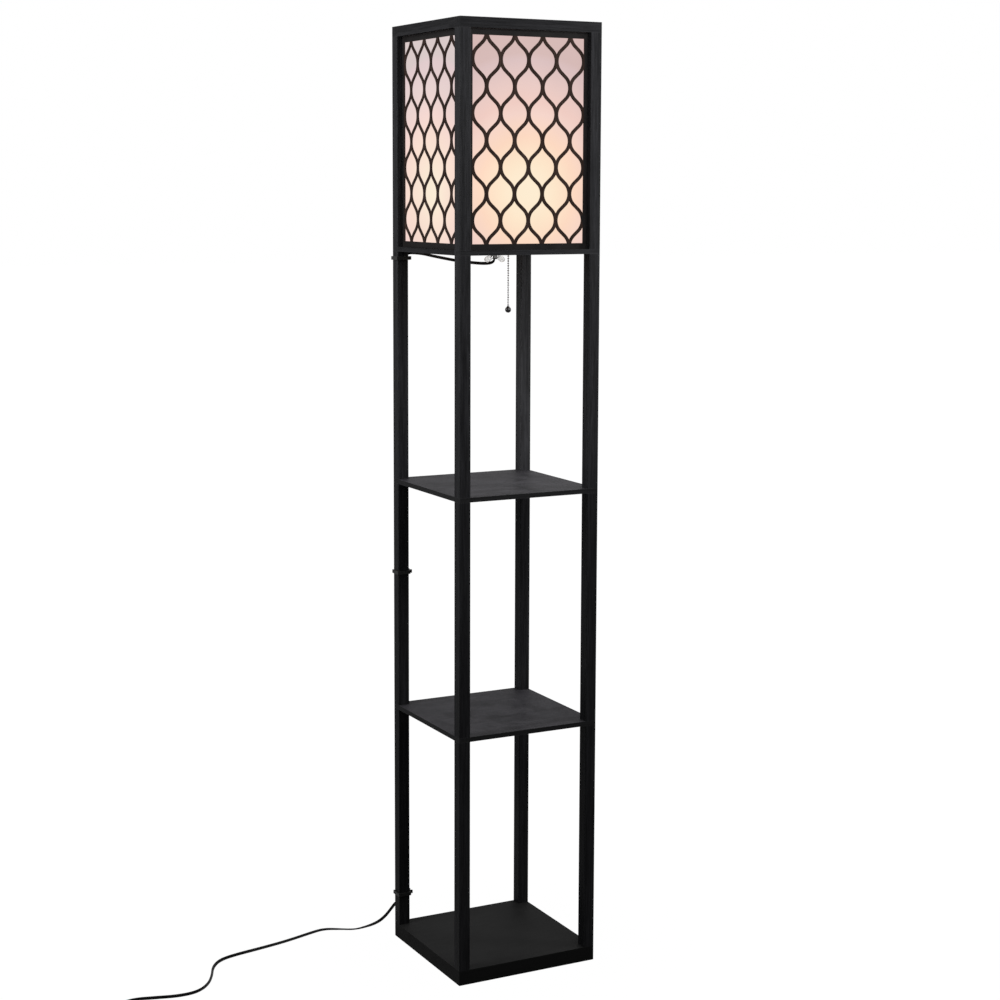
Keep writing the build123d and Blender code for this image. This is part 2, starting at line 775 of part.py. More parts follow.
def bend_radii(route):
    """Radius at each inner point: as large as the shorter of its two runs allows."""
    radii = []
    for before, here, after in zip(route, route[1:], route[2:]):
        run_in = Vector(*here) - Vector(*before)
        run_out = Vector(*after) - Vector(*here)
        half_turn = radians(run_in.get_angle(run_out)) / 2
        radii.append(0.45 * min(run_in.length, run_out.length) / tan(half_turn))
    return radii


# The coil's half turns spiral in, climb a layer and spiral out again
def coil_stations():
    """(radius, height, side) at the end of each half turn, side +1 on +Y and -1 on -Y."""
    stations = []
    inner_radius = coil_radius - coil_half_turns * coil_pitch / 2
    for step in range(coil_half_turns + 1):
        stations.append((coil_radius - step * coil_pitch / 2, coil_z))
    stations.append((inner_radius - coil_reversal_step, coil_z + coil_pitch))
    for step in range(1, coil_half_turns + 1):
        stations.append((inner_radius + step * coil_pitch / 2, coil_z + coil_pitch))
    return [(radius, height, 1 - 2 * (index % 2)) for index, (radius, height) in enumerate(stations)]


def half_turn_joint(start, end, heading):
    """Middle point of the two quarter arcs that lead from start to end and reverse the heading."""
    reach = (end - start).length / 2
    return (start + heading * reach + end + heading * reach) / 2


stations = coil_stations()
coil_points = [
    Vector(coil_centre[0], coil_centre[1] + side * radius, height)
    for radius, height, side in stations
]
coil_headings = [Vector(-side, 0, 0) for radius, height, side in stations]
exit_heading = coil_headings[-1]
plug_start = coil_points[-1] + exit_heading * cord_diameter
with BuildLine() as coil_path:
    for start, end, heading in zip(coil_points, coil_points[1:], coil_headings):
        joint = half_turn_joint(start, end, heading)
        quarter_arc = TangentArc(start, joint, tangent=heading)
        TangentArc(joint, end, tangent=quarter_arc % 1)
    Line(coil_points[-1], plug_start)


def cord_stretch(name, route, tail=None):
    radii = bend_radii(route)
    with BuildPart() as stretch:
        with BuildLine() as path:
            FilletPolyline(*route, radius=radii)
            if tail:
                add(tail.line)
        path_wire = path.wires()[0]
        with BuildSketch(Plane(origin=path_wire @ 0, z_dir=path_wire % 0)) as section:
            RegularPolygon(cord_diameter / 2, cord_facets)
        sweep(path=path_wire)
    swept_volume = path_wire.length * section.sketch.area
    print(name, "length", round(path_wire.length, 1), "radii", [round(radius, 1) for radius in radii])
    print(name, "volume over section times length", stretch.part.volume / swept_volume)
    save(stretch, name)


cord_stretch("cord_upper", upper_route)
cord_stretch("cord_floor", floor_route, coil_path)

coil_wire = coil_path.wires()[0]
coil_samples = 400
samples = [coil_wire @ (index / coil_samples) for index in range(coil_samples + 1)]
skipped = int(pi * cord_diameter / coil_wire.length * coil_samples) + 1
least_gap = min(
    (samples[first] - samples[second]).length - cord_diameter
    for first in range(coil_samples + 1)
    for second in range(first + skipped, coil_samples + 1)
)
print("coil length", round(coil_wire.length, 1), "least gap to itself", round(least_gap, 2))

# Tie round the coil, at the side away from its climb
inner_start = stations[coil_half_turns + 1][0]
inner_end = stations[coil_half_turns + 2][0]
inner_bend = (inner_start + inner_end) / 2
inner_bow = inner_bend - sqrt(inner_bend**2 - (tie_width / 2 + (inner_end - inner_start) / 2) ** 2)
tie_inner = inner_bend - inner_bow
tie_outer = (stations[1][0] + stations[2][0]) / 2
tie_across = tie_outer - tie_inner + cord_bore
tie_up = coil_pitch + cord_bore
with BuildPart() as coil_tie:
    with BuildSketch(Plane.XZ.offset(-coil_centre[1])):
        with Locations((coil_centre[0] + (tie_inner + tie_outer) / 2, coil_z + coil_pitch / 2)):
            Rectangle(tie_across + 2 * tie_thickness, tie_up + 2 * tie_thickness)
            Rectangle(tie_across, tie_up, mode=Mode.SUBTRACT)
    extrude(amount=tie_width / 2, both=True)
save(coil_tie, "coil_tie")

# Plug with its tapered strain relief, lying beside the coil
plug_axis = Plane(origin=plug_start, x_dir=(0, 1, 0), z_dir=exit_heading)
plug_thickness = 2 * plug_start.Z
with BuildPart() as plug_body:
    with BuildSketch(plug_axis.offset(relief_length)):
        Rectangle(plug_width, plug_thickness)
    extrude(amount=plug_length)
    chamfer(plug_body.edges().filter_by(Axis.X), plug_edge)
    with Locations(plug_axis.offset(relief_length).location):
        add(tapered(relief_root_radius, relief_tip_radius, relief_length), rotation=(180, 0, 0))
save(plug_body, "plug_body")
with BuildPart() as plug_blades:
    with BuildSketch(plug_axis.offset(relief_length + plug_length)):
        with GridLocations(blade_spacing, 0, 2, 1):
            Rectangle(blade_thickness, blade_width)
    extrude(amount=blade_length)
save(plug_blades, "plug_blades")
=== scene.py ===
from math import acos, cos, pi, radians, sin

import bmesh
import bpy
from mathutils import Matrix, Vector


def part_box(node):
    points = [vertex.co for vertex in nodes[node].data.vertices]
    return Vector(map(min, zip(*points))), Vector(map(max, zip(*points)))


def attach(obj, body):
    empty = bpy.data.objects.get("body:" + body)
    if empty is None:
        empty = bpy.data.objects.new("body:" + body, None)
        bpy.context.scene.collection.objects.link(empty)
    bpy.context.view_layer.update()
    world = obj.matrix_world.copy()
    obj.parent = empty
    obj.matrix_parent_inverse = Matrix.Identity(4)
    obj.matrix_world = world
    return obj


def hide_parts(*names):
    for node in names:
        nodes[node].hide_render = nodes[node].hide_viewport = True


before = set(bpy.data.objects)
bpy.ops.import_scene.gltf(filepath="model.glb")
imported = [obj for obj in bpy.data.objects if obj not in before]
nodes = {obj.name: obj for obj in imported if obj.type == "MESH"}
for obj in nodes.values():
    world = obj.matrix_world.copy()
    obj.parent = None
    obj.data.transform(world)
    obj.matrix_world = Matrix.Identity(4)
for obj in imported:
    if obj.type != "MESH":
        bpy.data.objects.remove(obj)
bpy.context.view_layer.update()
scene = bpy.context.scene
MM = 0.001
TINY = 1e-9
CORNERS = ("front_left", "front_right", "back_left", "back_right")
TIERS = ("lower_post", "middle_post", "upper_post", "shade_post")
SIDES = ("front", "right", "back", "left")


def linked(name, data):
    """A new object in the scene."""
    made = bpy.data.objects.new(name, data)
    scene.collection.objects.link(made)
    return made


def keep(name, data, body="tower"):
    """A new piece of the lamp, in the row frame, that rides on a body."""
    piece = linked(name, data)
    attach(piece, body)
    return piece


def finished(build, name, made, body="tower"):
    """A smooth piece of one material, from a mesh under construction."""
    bmesh.ops.recalc_face_normals(build, faces=build.faces)
    mesh = bpy.data.meshes.new(name)
    build.to_mesh(mesh)
    build.free()
    mesh.shade_smooth()
    mesh.materials.append(made)
    return keep(name, mesh, body)


# Camera: its place in metres, the turns of its view, and its lens in pixels of the picture
CAMERA_PLACE = Vector((-1.5567, -3.0116, 1.3303))
YAW, PITCH, ROLL = radians(27.3709), radians(7.0773), radians(0.1688)
FOCAL_LENGTH, PICTURE_WIDTH = 1998.29, 1000
SENSOR_WIDTH = 36.0
SHIFT_X, SHIFT_Y = 0.0046, -0.06425
VIEW_DEPTH = 60


def place_camera():
    ahead = Vector((sin(YAW) * cos(PITCH), cos(YAW) * cos(PITCH), -sin(PITCH)))
    across = Vector((cos(YAW), -sin(YAW), 0))
    upward = across.cross(ahead)
    right = across * cos(ROLL) + upward * sin(ROLL)
    up = upward * cos(ROLL) - across * sin(ROLL)
    data = bpy.data.cameras.new("camera")
    data.sensor_width = SENSOR_WIDTH
    data.lens = FOCAL_LENGTH * SENSOR_WIDTH / PICTURE_WIDTH
    data.shift_x, data.shift_y = SHIFT_X, SHIFT_Y
    data.clip_end = VIEW_DEPTH
    camera = linked("camera", data)
    placing = Matrix((right, up, -ahead)).transposed().to_4x4()
    placing.translation = CAMERA_PLACE
    camera.matrix_world = placing
    scene.camera = camera


place_camera()


# Material helpers
def material(name):
    made = bpy.data.materials.new(name)
    made.use_nodes = True
    return made, made.node_tree, made.node_tree.nodes["Principled BSDF"]


def grey(level):
    return (level, level, level)


def object_place(tree):
    """Object coordinates, which are metres of the row frame."""
    return tree.nodes.new("ShaderNodeTexCoord").outputs["Object"]


def far_from(tree, place):
    """Distance in metres from a place in the row frame."""
    distance = tree.nodes.new("ShaderNodeVectorMath")
    distance.operation = "DISTANCE"
    distance.inputs[1].default_value = place
    tree.links.new(object_place(tree), distance.inputs[0])
    return distance.outputs["Value"]


def noise(tree, scale, detail=4.0, roughness=0.55):
    """Noise from 0 to 1, with a scale per metre on each axis."""
    mapping = tree.nodes.new("ShaderNodeMapping")
    mapping.inputs["Scale"].default_value = scale
    tree.links.new(object_place(tree), mapping.inputs["Vector"])
    texture = tree.nodes.new("ShaderNodeTexNoise")
    texture.inputs["Scale"].default_value = 1.0
    texture.inputs["Detail"].default_value = detail
    texture.inputs["Roughness"].default_value = roughness
    tree.links.new(mapping.outputs["Vector"], texture.inputs["Vector"])
    return texture.outputs["Fac"]


def ramp(tree, value, *stops):
    """A colour that changes with a value, from (value, colour) stops."""
    made = tree.nodes.new("ShaderNodeValToRGB")
    points = made.color_ramp.elements
    while len(points) < len(stops):
        points.new(0.5)
    for point, (place, colour) in zip(points, stops):
        point.position = place
        point.color = (*colour, 1)
    tree.links.new(value, made.inputs["Fac"])
    return made.outputs["Color"]


def mixed(tree, share, first, second, kind="MIX"):
    """Two colours mixed: each value is a number, a colour or the output of a node."""
    made = tree.nodes.new("ShaderNodeMix")
    made.data_type = "RGBA"
    made.blend_type = kind
    sockets = [socket for socket in made.inputs if socket.enabled]
    for socket, value in zip(sockets, (share, first, second)):
        if isinstance(value, float):
            socket.default_value = value
        elif isinstance(value, tuple):
            socket.default_value = (*value, 1)
        else:
            tree.links.new(value, socket)
    return [socket for socket in made.outputs if socket.enabled][0]


def multiplied(tree, colour, factor, share=1.0):
    return mixed(tree, share, colour, factor, "MULTIPLY")


def spread(tree, value, low, high, start=0.0, end=1.0):
    """A value between start and end moved to the span from low to high."""
    made = tree.nodes.new("ShaderNodeMapRange")
    limits = {"From Min": start, "From Max": end, "To Min": low, "To Max": high}
    for name, limit in limits.items():
        made.inputs[name].default_value = limit
    tree.links.new(value, made.inputs["Value"])
    return made.outputs["Result"]


def combined(tree, operation, first, second):
    """One number from two outputs of nodes."""
    made = tree.nodes.new("ShaderNodeMath")
    made.operation = operation
    tree.links.new(first, made.inputs[0])
    tree.links.new(second, made.inputs[1])
    return made.outputs["Value"]


def surface(tree, shader, colour, roughness):
    tree.links.new(colour, shader.inputs["Base Color"])
    tree.links.new(roughness, shader.inputs["Roughness"])


def raised(tree, shader, height, strength, distance):
    made = tree.nodes.new("ShaderNodeBump")
    made.inputs["Strength"].default_value = strength
    made.inputs["Distance"].default_value = distance
    tree.links.new(height, made.inputs["Height"])
    tree.links.new(made.outputs["Normal"], shader.inputs["Normal"])


def edge_mask(tree, radius):
    """White along sharp edges, black on the flats."""
    rounded = tree.nodes.new("ShaderNodeBevel")
    rounded.samples = 4
    rounded.inputs["Radius"].default_value = radius
    flat = tree.nodes.new("ShaderNodeNewGeometry")
    product = tree.nodes.new("ShaderNodeVectorMath")
    product.operation = "DOT_PRODUCT"
    tree.links.new(rounded.outputs["Normal"], product.inputs[0])
    tree.links.new(flat.outputs["Normal"], product.inputs[1])
    return ramp(tree, product.outputs["Value"], (0.86, grey(1)), (0.99, grey(0)))


def facing_up(tree):
    """White on faces that look up, black on the rest."""
    flat = tree.nodes.new("ShaderNodeNewGeometry")
    split = tree.nodes.new("ShaderNodeSeparateXYZ")
    tree.links.new(flat.outputs["Normal"], split.inputs["Vector"])
    return ramp(tree, split.outputs["Z"], (0.45, grey(0)), (0.55, grey(1)))


# Kinds of material: colours are linear, sheen is the specular level
FOIL_SHEEN = 0.012


def foil(name, grain, dark, light, worn, sheen=FOIL_SHEEN):
    """Wood-grain foil: pores and figure run along the grain axis, corners are a little paler with wear and a
    painted edge highlight.
    """
    made, tree, shader = material(name)

    def grained(along, across, detail, roughness):
        return noise(tree, tuple(along if axis == grain else across for axis in "XYZ"), detail, roughness)

    streaks = grained(13, 330, 3, 0.62)
    pores = grained(45, 1200, 2, 0.6)
    figure = grained(2.5, 60, 3, 0.5)
    smear = noise(tree, (14, 14, 9), 3, 0.6)
    tone = ramp(tree, figure, (0.3, dark), (0.7, light))
    streaked = multiplied(tree, tone, ramp(tree, streaks, (0.34, grey(0.7)), (0.66, (1.33, 1.33, 1.35))))
    pored = multiplied(tree, streaked, ramp(tree, pores, (0.36, grey(0.68)), (0.52, grey(1.05))))
    wear_and_highlight = mixed(tree, edge_mask(tree, radius=0.0011), pored, worn)
    surface(tree, shader, wear_and_highlight, spread(tree, smear, 0.42, 0.6))
    shader.inputs["Specular IOR Level"].default_value = sheen
    raised(tree, shader, mixed(tree, 0.5, streaks, pores), strength=0.5, distance=0.0005)
    return made


def board(name, dark, light, edge, sheen, mottling):
    """Board with leathery mottling and faint streaks on its top, and plain dark edges."""
    made, tree, shader = material(name)
    mottle = noise(tree, (34, 26, 40), 6, 0.66)
    blots = noise(tree, (17, 21, 20), 2, 0.5)
    grain = noise(tree, (11, 330, 330), 3, 0.6)
    middle = tuple((a + b) / 2 for a, b in zip(dark, light))
    tone = ramp(tree, mottle, (0.34, dark), (0.5, middle), (0.68, light))
    streaks = ramp(tree, grain, (0.36, grey(0.68)), (0.64, grey(1.25)))
    spots = ramp(tree, blots, (0.36, grey(0.5)), (0.46, grey(1)))
    top = multiplied(tree, multiplied(tree, tone, streaks, mottling), spots, mottling)
    edge_streaks = ramp(tree, grain, (0.36, grey(0.7)), (0.64, grey(1.3)))
    side = multiplied(tree, edge, edge_streaks, mottling)
    faced = mixed(tree, facing_up(tree), side, top)
    # Paler edges: wear and a painted edge highlight
    wear_and_highlight = mixed(tree, edge_mask(tree, radius=0.0008), faced, tuple(c * 1.2 for c in light))
    surface(tree, shader, wear_and_highlight, spread(tree, mottle, 0.42, 0.66))
    shader.inputs["Specular IOR Level"].default_value = sheen
    raised(tree, shader, grain, strength=0.3, distance=0.0004)
    return made


def moulded(name, dark, light, rough, sheen, skin=900.0):
    """Moulded or extruded plastic with a fine skin texture."""
    made, tree, shader = material(name)
    mottle = noise(tree, (45, 45, 45), 3)
    tone = ramp(tree, mottle, (0.3, dark), (0.7, light))
    # Paler edges: wear and a painted edge highlight
    wear_and_highlight = mixed(tree, edge_mask(tree, radius=0.0006), tone, tuple(c * 2.2 for c in light))
    surface(tree, shader, wear_and_highlight, spread(tree, mottle, *rough))
    shader.inputs["Specular IOR Level"].default_value = sheen
    raised(tree, shader, noise(tree, (skin, skin, skin), 2), strength=0.12, distance=0.0001)
    return made


def plated(name, dull, bright, rough):
    """Metal with faint drawing lines and smears."""
    made, tree, shader = material(name)
    shader.inputs["Metallic"].default_value = 1.0
    smear = noise(tree, (160, 160, 160), 3)
    surface(tree, shader, ramp(tree, smear, (0.3, dull), (0.7, bright)), spread(tree, smear, *rough))
    raised(tree, shader, noise(tree, (300, 300, 2500), 2), strength=0.05, distance=0.00005)
    return made


def clear_nylon():
    made, tree, shader = material("clear_nylon")
    cloud = noise(tree, (420, 420, 420), 3)
    tone = ramp(tree, cloud, (0.3, (0.86, 0.86, 0.85)), (0.7, (0.95, 0.95, 0.94)))
    surface(tree, shader, tone, spread(tree, cloud, 0.1, 0.22))
    shader.inputs["Transmission Weight"].default_value = 0.78
    shader.inputs["IOR"].default_value = 1.5
    raised(tree, shader, cloud, strength=0.1, distance=0.0002)
    return made


def lit_bulb():
    made, tree, shader = material("lit_bulb")
    frost = noise(tree, (240, 240, 240), 3)
    glow = ramp(tree, frost, (0.3, (1.0, 0.82, 0.56)), (0.7, (1.0, 0.88, 0.66)))
    tree.links.new(glow, shader.inputs["Emission Color"])
    shader.inputs["Emission Strength"].default_value = 4.0
    shader.inputs["Base Color"].default_value = (0.9, 0.88, 0.84, 1)
    tree.links.new(spread(tree, frost, 0.3, 0.45), shader.inputs["Roughness"])
    return made


# The glow of the liners runs between two distances from the bulb, in millimetres
BULB_MIDDLE = (0, 0, 1.325)
GLOW_NEAR, GLOW_FAR = 115, 255


def lit_liner(name, *glow):
    """Thin cloth lit from behind, with a weave and soft clouds: (millimetres from the bulb, colour) pairs."""
    made, tree, shader = material(name)
    away = spread(tree, far_from(tree, BULB_MIDDLE), 0, 1, GLOW_NEAR * MM, GLOW_FAR * MM)
    stops = [((distance - GLOW_NEAR) / (GLOW_FAR - GLOW_NEAR), colour) for distance, colour in glow]
    cloud = ramp(tree, noise(tree, (9, 9, 7), 2), (0.3, (0.975, 0.97, 0.97)), (0.7, (1.025, 1.03, 1.03)))
    threads = noise(tree, (1500, 1500, 1500), 2)
    weave = ramp(tree, threads, (0.3, grey(0.96)), (0.7, grey(1.04)))
    clouded = multiplied(tree, ramp(tree, away, *stops), cloud)
    tree.links.new(multiplied(tree, clouded, weave), shader.inputs["Emission Color"])
    shader.inputs["Emission Strength"].default_value = 1.0
    tree.links.new(multiplied(tree, (0.02, 0.019, 0.0185), weave), shader.inputs["Base Color"])
    shader.inputs["Roughness"].default_value = 0.9
    shader.inputs["Specular IOR Level"].default_value = 0.05
    raised(tree, shader, threads, strength=0.15, distance=0.0001)
    return made


# Materials: dark, light and edge tones of the foils (edge: wear and painted edge highlight), and spans of
# roughness of the plastics
POST_TONES = ((0.0095, 0.0095, 0.0102), (0.0165, 0.0165, 0.0178), (0.019, 0.019, 0.02))
# Darker copy of the post tones for the lower and middle posts: painted shade towards the floor
LOW_PAINTED_SHADE_TONES = ((0.0073, 0.0073, 0.0078), (0.0126, 0.0126, 0.0136), (0.015, 0.015, 0.016))
# Paler copy of the post tones for the back right upper post: painted light
PAINTED_LIGHT_TONES = ((0.017, 0.017, 0.018), (0.031, 0.031, 0.033), (0.034, 0.034, 0.036))
# Darker copies of the post tones for the left and right rails and the front and back top rails: painted shade
RAIL_PAINTED_SHADE_TONES = ((0.007, 0.007, 0.0075), (0.012, 0.012, 0.013), (0.015, 0.015, 0.016))
TOP_PAINTED_SHADE_TONES = ((0.0066, 0.0066, 0.0071), (0.0113, 0.0113, 0.0122), (0.014, 0.014, 0.015))
# Browner, paler tones for the fretwork strands: painted warm glow of the lit liner behind them
STRAND_PAINTED_GLOW_TONES = ((0.014, 0.0084, 0.0066), (0.0215, 0.0136, 0.011), (0.026, 0.017, 0.014))
BEECH_TONES = ((0.42, 0.28, 0.16), (0.58, 0.42, 0.26), (0.66, 0.5, 0.33))
SATIN, SMOOTH, GLOSSY = (0.42, 0.6), (0.36, 0.5), (0.16, 0.26)
grain_up = foil("black_foil_upright", "Z", *POST_TONES)
grain_painted_shade_low = foil("black_foil_painted_shade_low", "Z", *LOW_PAINTED_SHADE_TONES)
grain_painted_light = foil("black_foil_painted_light", "Z", *PAINTED_LIGHT_TONES)
grain_x = foil("black_foil_across", "X", *POST_TONES)
grain_painted_shade_top = foil("black_foil_painted_shade_top", "X", *TOP_PAINTED_SHADE_TONES)
grain_painted_shade_y = foil("black_foil_painted_shade_deep", "Y", *RAIL_PAINTED_SHADE_TONES)
fret_painted_glow_strand = foil("fretwork_painted_warm_glow", "Z", *STRAND_PAINTED_GLOW_TONES)
beech = foil("beech", "Z", *BEECH_TONES, sheen=0.3)
fret_border = moulded("fretwork_black", (0.0072, 0.0067, 0.0067), (0.0102, 0.0094, 0.0094), SATIN, FOIL_SHEEN)
shelf_top = board(
    "shelf_board", (0.0135, 0.013, 0.0148), (0.03, 0.0288, 0.032), (0.0105, 0.0105, 0.011),
    sheen=0.016, mottling=0.55,
)
base_top = board("base_board", grey(0.012), grey(0.0145), grey(0.007), sheen=0.008, mottling=0.2)
gloss_black = moulded("holder_black", grey(0.008), grey(0.016), GLOSSY, sheen=0.5)
clip_black = moulded("clip_black", grey(0.0085), grey(0.0125), SMOOTH, sheen=0.05)
jacket = moulded("cord_black", grey(0.004), grey(0.0075), SMOOTH, sheen=0.03, skin=1500.0)
chrome = plated("chrome", (0.16, 0.16, 0.165), (0.27, 0.27, 0.275), (0.08, 0.18))
# Chrome with a darkened colour for the pull ball: painted dark reflection
chrome_painted_dark = plated("chrome_painted_dark", (0.022, 0.022, 0.023), (0.036, 0.036, 0.037), (0.05, 0.1))
blackened = plated("blackened_steel", grey(0.02), grey(0.035), (0.35, 0.5))
steel = plated("zinc_steel", (0.42, 0.43, 0.45), (0.6, 0.6, 0.61), (0.25, 0.4))
brass = plated("brass", (0.52, 0.36, 0.14), (0.72, 0.54, 0.26), (0.2, 0.36))
alloy = plated("cap_metal", (0.55, 0.55, 0.56), grey(0.74), (0.24, 0.4))
nylon, bulb = clear_nylon(), lit_bulb()
front_liner = lit_liner(
    "lit_liner_front",
    (118, (0.95, 0.81, 0.61)), (128, (0.95, 0.76, 0.56)), (147, (0.945, 0.665, 0.505)), (173, (0.865, 0.62, 0.55)),
    (187, (0.83, 0.57, 0.51)), (207, (0.775, 0.555, 0.515)), (242, (0.67, 0.495, 0.49)), (252, (0.64, 0.46, 0.44)),
)
# The side liners glow paler and bluer than the front ones: painted studio light on the side panels
side_liner = lit_liner(
    "lit_liner_side",
    (118, (0.92, 0.8, 0.63)), (128, (0.93, 0.75, 0.62)), (147, (0.915, 0.7, 0.6)), (173, (0.87, 0.645, 0.6)),
    (187, (0.82, 0.63, 0.6)), (207, (0.765, 0.61, 0.595)), (242, (0.72, 0.565, 0.575)), (252, (0.66, 0.56, 0.55)),
)

# What each solid wears
node_materials = {
    "base_board": base_top, "lower_shelf": shelf_top, "upper_shelf": shelf_top, "socket_crossbar": grain_x,
    "threaded_nipple": blackened, "wing_nut": nylon, "holder_cap": gloss_black, "holder_body": gloss_black,
    "screw_shell": brass, "centre_contact": brass, "bulb_cap": alloy, "bulb_glass": bulb, "pull_lever": steel,
    "chain_guide": brass, "cable_clips": clip_black, "coil_tie": clip_black, "plug_body": clip_black,
    "plug_blades": brass, "tier_studs": steel, "base_screws": steel, "top_dowels": beech,
}
for corner in CORNERS:
    for tier in TIERS:
        # Lower and middle posts, except the back right ones, wear the darker tones: painted shade towards the
        # floor
        in_painted_shade = tier in ("lower_post", "middle_post") and corner != "back_right"
        node_materials[f"{tier}_{corner}"] = grain_painted_shade_low if in_painted_shade else grain_up
# The back right upper post wears the paler tones: painted light
node_materials["upper_post_back_right"] = grain_painted_light
for side in SIDES:
    # Left and right rails and the front and back top rails wear the darker tones: painted shade
    runs_across = side in ("front", "back")
    node_materials[f"shade_rail_{side}"] = grain_x if runs_across else grain_painted_shade_y
    node_materials[f"top_rail_{side}"] = grain_painted_shade_top if runs_across else grain_painted_shade_y
    node_materials[f"liner_{side}"] = front_liner if runs_across else side_liner
for name, worn in node_materials.items():
    for slot in nodes[name].material_slots:
        slot.material = worn

# Mains cord: one flat two-core cord from the nipple to its plug, as control points in millimetres
POST_X, POST_Y = -107.2, 122.0
FLOOR_LEVEL = 2.6
COIL_X, COIL_Y, COIL_RADIUS = -705, 8, 30
COIL_LOW, COIL_HIGH = 3.6, 9.2
nut_to_post = [
    (0, 0, 1216), (0, 0, 1209), (-3.5, 3.8, 1203.8), (-14, 15, 1202.6), (-30, 32.5, 1204), (-47, 51, 1206.8),
    (-63, 68, 1210.6), (-77, 83, 1214.2), (-88, 95, 1217.6), (-98, 106, 1218.7), (-104.2, 115, 1218.7),
    (-106.4, 119.4, 1217.9),
]
down_the_post = [(POST_X, POST_Y, height) for height in (1213.8, 1206, 84, 76, 68)]
post_to_floor = [
    (POST_X + 0.3, 129.5, 63.5), (-112.5, 138.5, 60), (-120.5, 147, 53.5), (-126.5, 157, 38), (-131, 167, 24.6),
    (-137.5, 177, 12.9), (-147, 184, 5.4),
]
along_the_floor = [
    (x, y, FLOOR_LEVEL)
    for x, y in (
        (-165, 184), (-187, 181), (-210, 195), (-236, 209), (-268, 200), (-318, 184), (-372, 173), (-420, 165),
        (-451, 155), (-473, 130), (-487, 94), (-505, 62), (-531, 40), (-565, 38), (-602, 49),
    )
]
floor_to_coil = [(-635, 58, 2.7), (-664, 49, 3), (-686, 40, COIL_LOW)]
coil_to_plug = [(x, COIL_Y - COIL_RADIUS, COIL_HIGH) for x in (COIL_X, -700, -692)]

# Radius and height of the coil at each half turn
COIL_LEVELS = (
    (COIL_RADIUS, COIL_LOW), (27.2, COIL_LOW), (24.4, COIL_LOW),
    (21.8, COIL_HIGH), (27.2, COIL_HIGH), (COIL_RADIUS, COIL_HIGH),
)
HALF_TURN_STEPS = 7


def coil():
    """Half turns of one radius each, about middles that shift so that they join."""
    places = []
    for turn, ((radius, low), (next_radius, high)) in enumerate(zip(COIL_LEVELS, COIL_LEVELS[1:])):
        reach = (radius + next_radius) / 2
        shift = (radius - next_radius) / 2 * (1 - 2 * (turn % 2))
        for step in range(HALF_TURN_STEPS):
            share = step / HALF_TURN_STEPS
            angle = pi / 2 + pi * (turn + share)
            x, y = COIL_X + reach * cos(angle), COIL_Y + shift + reach * sin(angle)
            places.append((x, y, low + (high - low) * share))
    return places


cord_route = nut_to_post + down_the_post + post_to_floor + along_the_floor + floor_to_coil + coil() + coil_to_plug
CORD_RESOLUTION = 6


def spline_path(name, places):
    """Points in metres along a spline with these control points."""
    curve = bpy.data.curves.new(name, "CURVE")
    curve.dimensions = "3D"
    spline = curve.splines.new("NURBS")
    spline.points.add(len(places) - 1)
    for point, place in zip(spline.points, places):
        point.co = (*(Vector(place) * MM), 1)
    spline.order_u = 3
    spline.use_endpoint_u = True
    spline.resolution_u = CORD_RESOLUTION
    holder = bpy.data.objects.new(name, curve)
    mesh = bpy.data.meshes.new_from_object(holder)
    path = [vertex.co.copy() for vertex in mesh.vertices]
    bpy.data.objects.remove(holder)
    bpy.data.meshes.remove(mesh)
    return path


# How far the flat cord leans about its run, in degrees from lying flat, at numbered points of the route
LEANING = (
    (0, 0), (1.5, 55), (3, 75), (4.5, 58), (10, 50), (12, 90), (16, 90), (18, 80), (22, 80), (23, 40), (24, 5),
    (25, -14), (26, -10), (27, 12), (28, 26), (29, 28), (30, 35), (31, 48), (32, 58), (33, 58), (34, 60), (35, 75),
    (36, 88), (39, 88), (40, 70), (41, 30), (42, 0), (len(cord_route), 0),
)
UPRIGHT_SINE = 0.2
quarter_section = [(0, 0.95), (0.7, 1.12), (1.5, 1.17), (2.2, 1.0), (2.6, 0.55), (2.7, 0)]
half_section = quarter_section + [(x, -z) for x, z in reversed(quarter_section[:-1])]
flat_section = half_section + [(-x, z) for x, z in reversed(half_section[1:-1])]


def lean_at(place):
    """Lean in radians at a place that counts the points of the route."""
    (start, before), (end, after) = next(pair for pair in zip(LEANING, LEANING[1:]) if place <= pair[1][0])
    return radians(before + (after - before) * (place - start) / (end - start))


def flat_tube(path):
    """The flat section carried along a path. Where the path is near upright, it keeps the level it had."""
    build = bmesh.new()
    rings, level = [], Vector((1, 0, 0))
    for index, place in enumerate(path):
        heading = (path[min(index + 1, len(path) - 1)] - path[max(index - 1, 0)]).normalized()
        sideways = heading.cross(Vector((0, 0, 1)))
        if sideways.length < UPRIGHT_SINE:
            sideways = level - heading * level.dot(heading)
        level = sideways.normalized()
        lean = lean_at(index / CORD_RESOLUTION + 0.5)
        wide = level * cos(lean) + level.cross(heading) * sin(lean)
        thick = wide.cross(heading)
        rings.append([build.verts.new(place + (wide * x + thick * z) * MM) for x, z in flat_section])
    for ring, following in zip(rings, rings[1:]):
        for first in range(len(ring)):
            second = (first + 1) % len(ring)
            build.faces.new((ring[first], ring[second], following[second], following[first]))
    build.faces.new(rings[0])
    build.faces.new(rings[-1])
    return build


cord_path = spline_path("cord_route", cord_route)
mains_cord = finished(flat_tube(cord_path), "mains_cord", jacket)
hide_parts("cord_upper", "cord_floor")

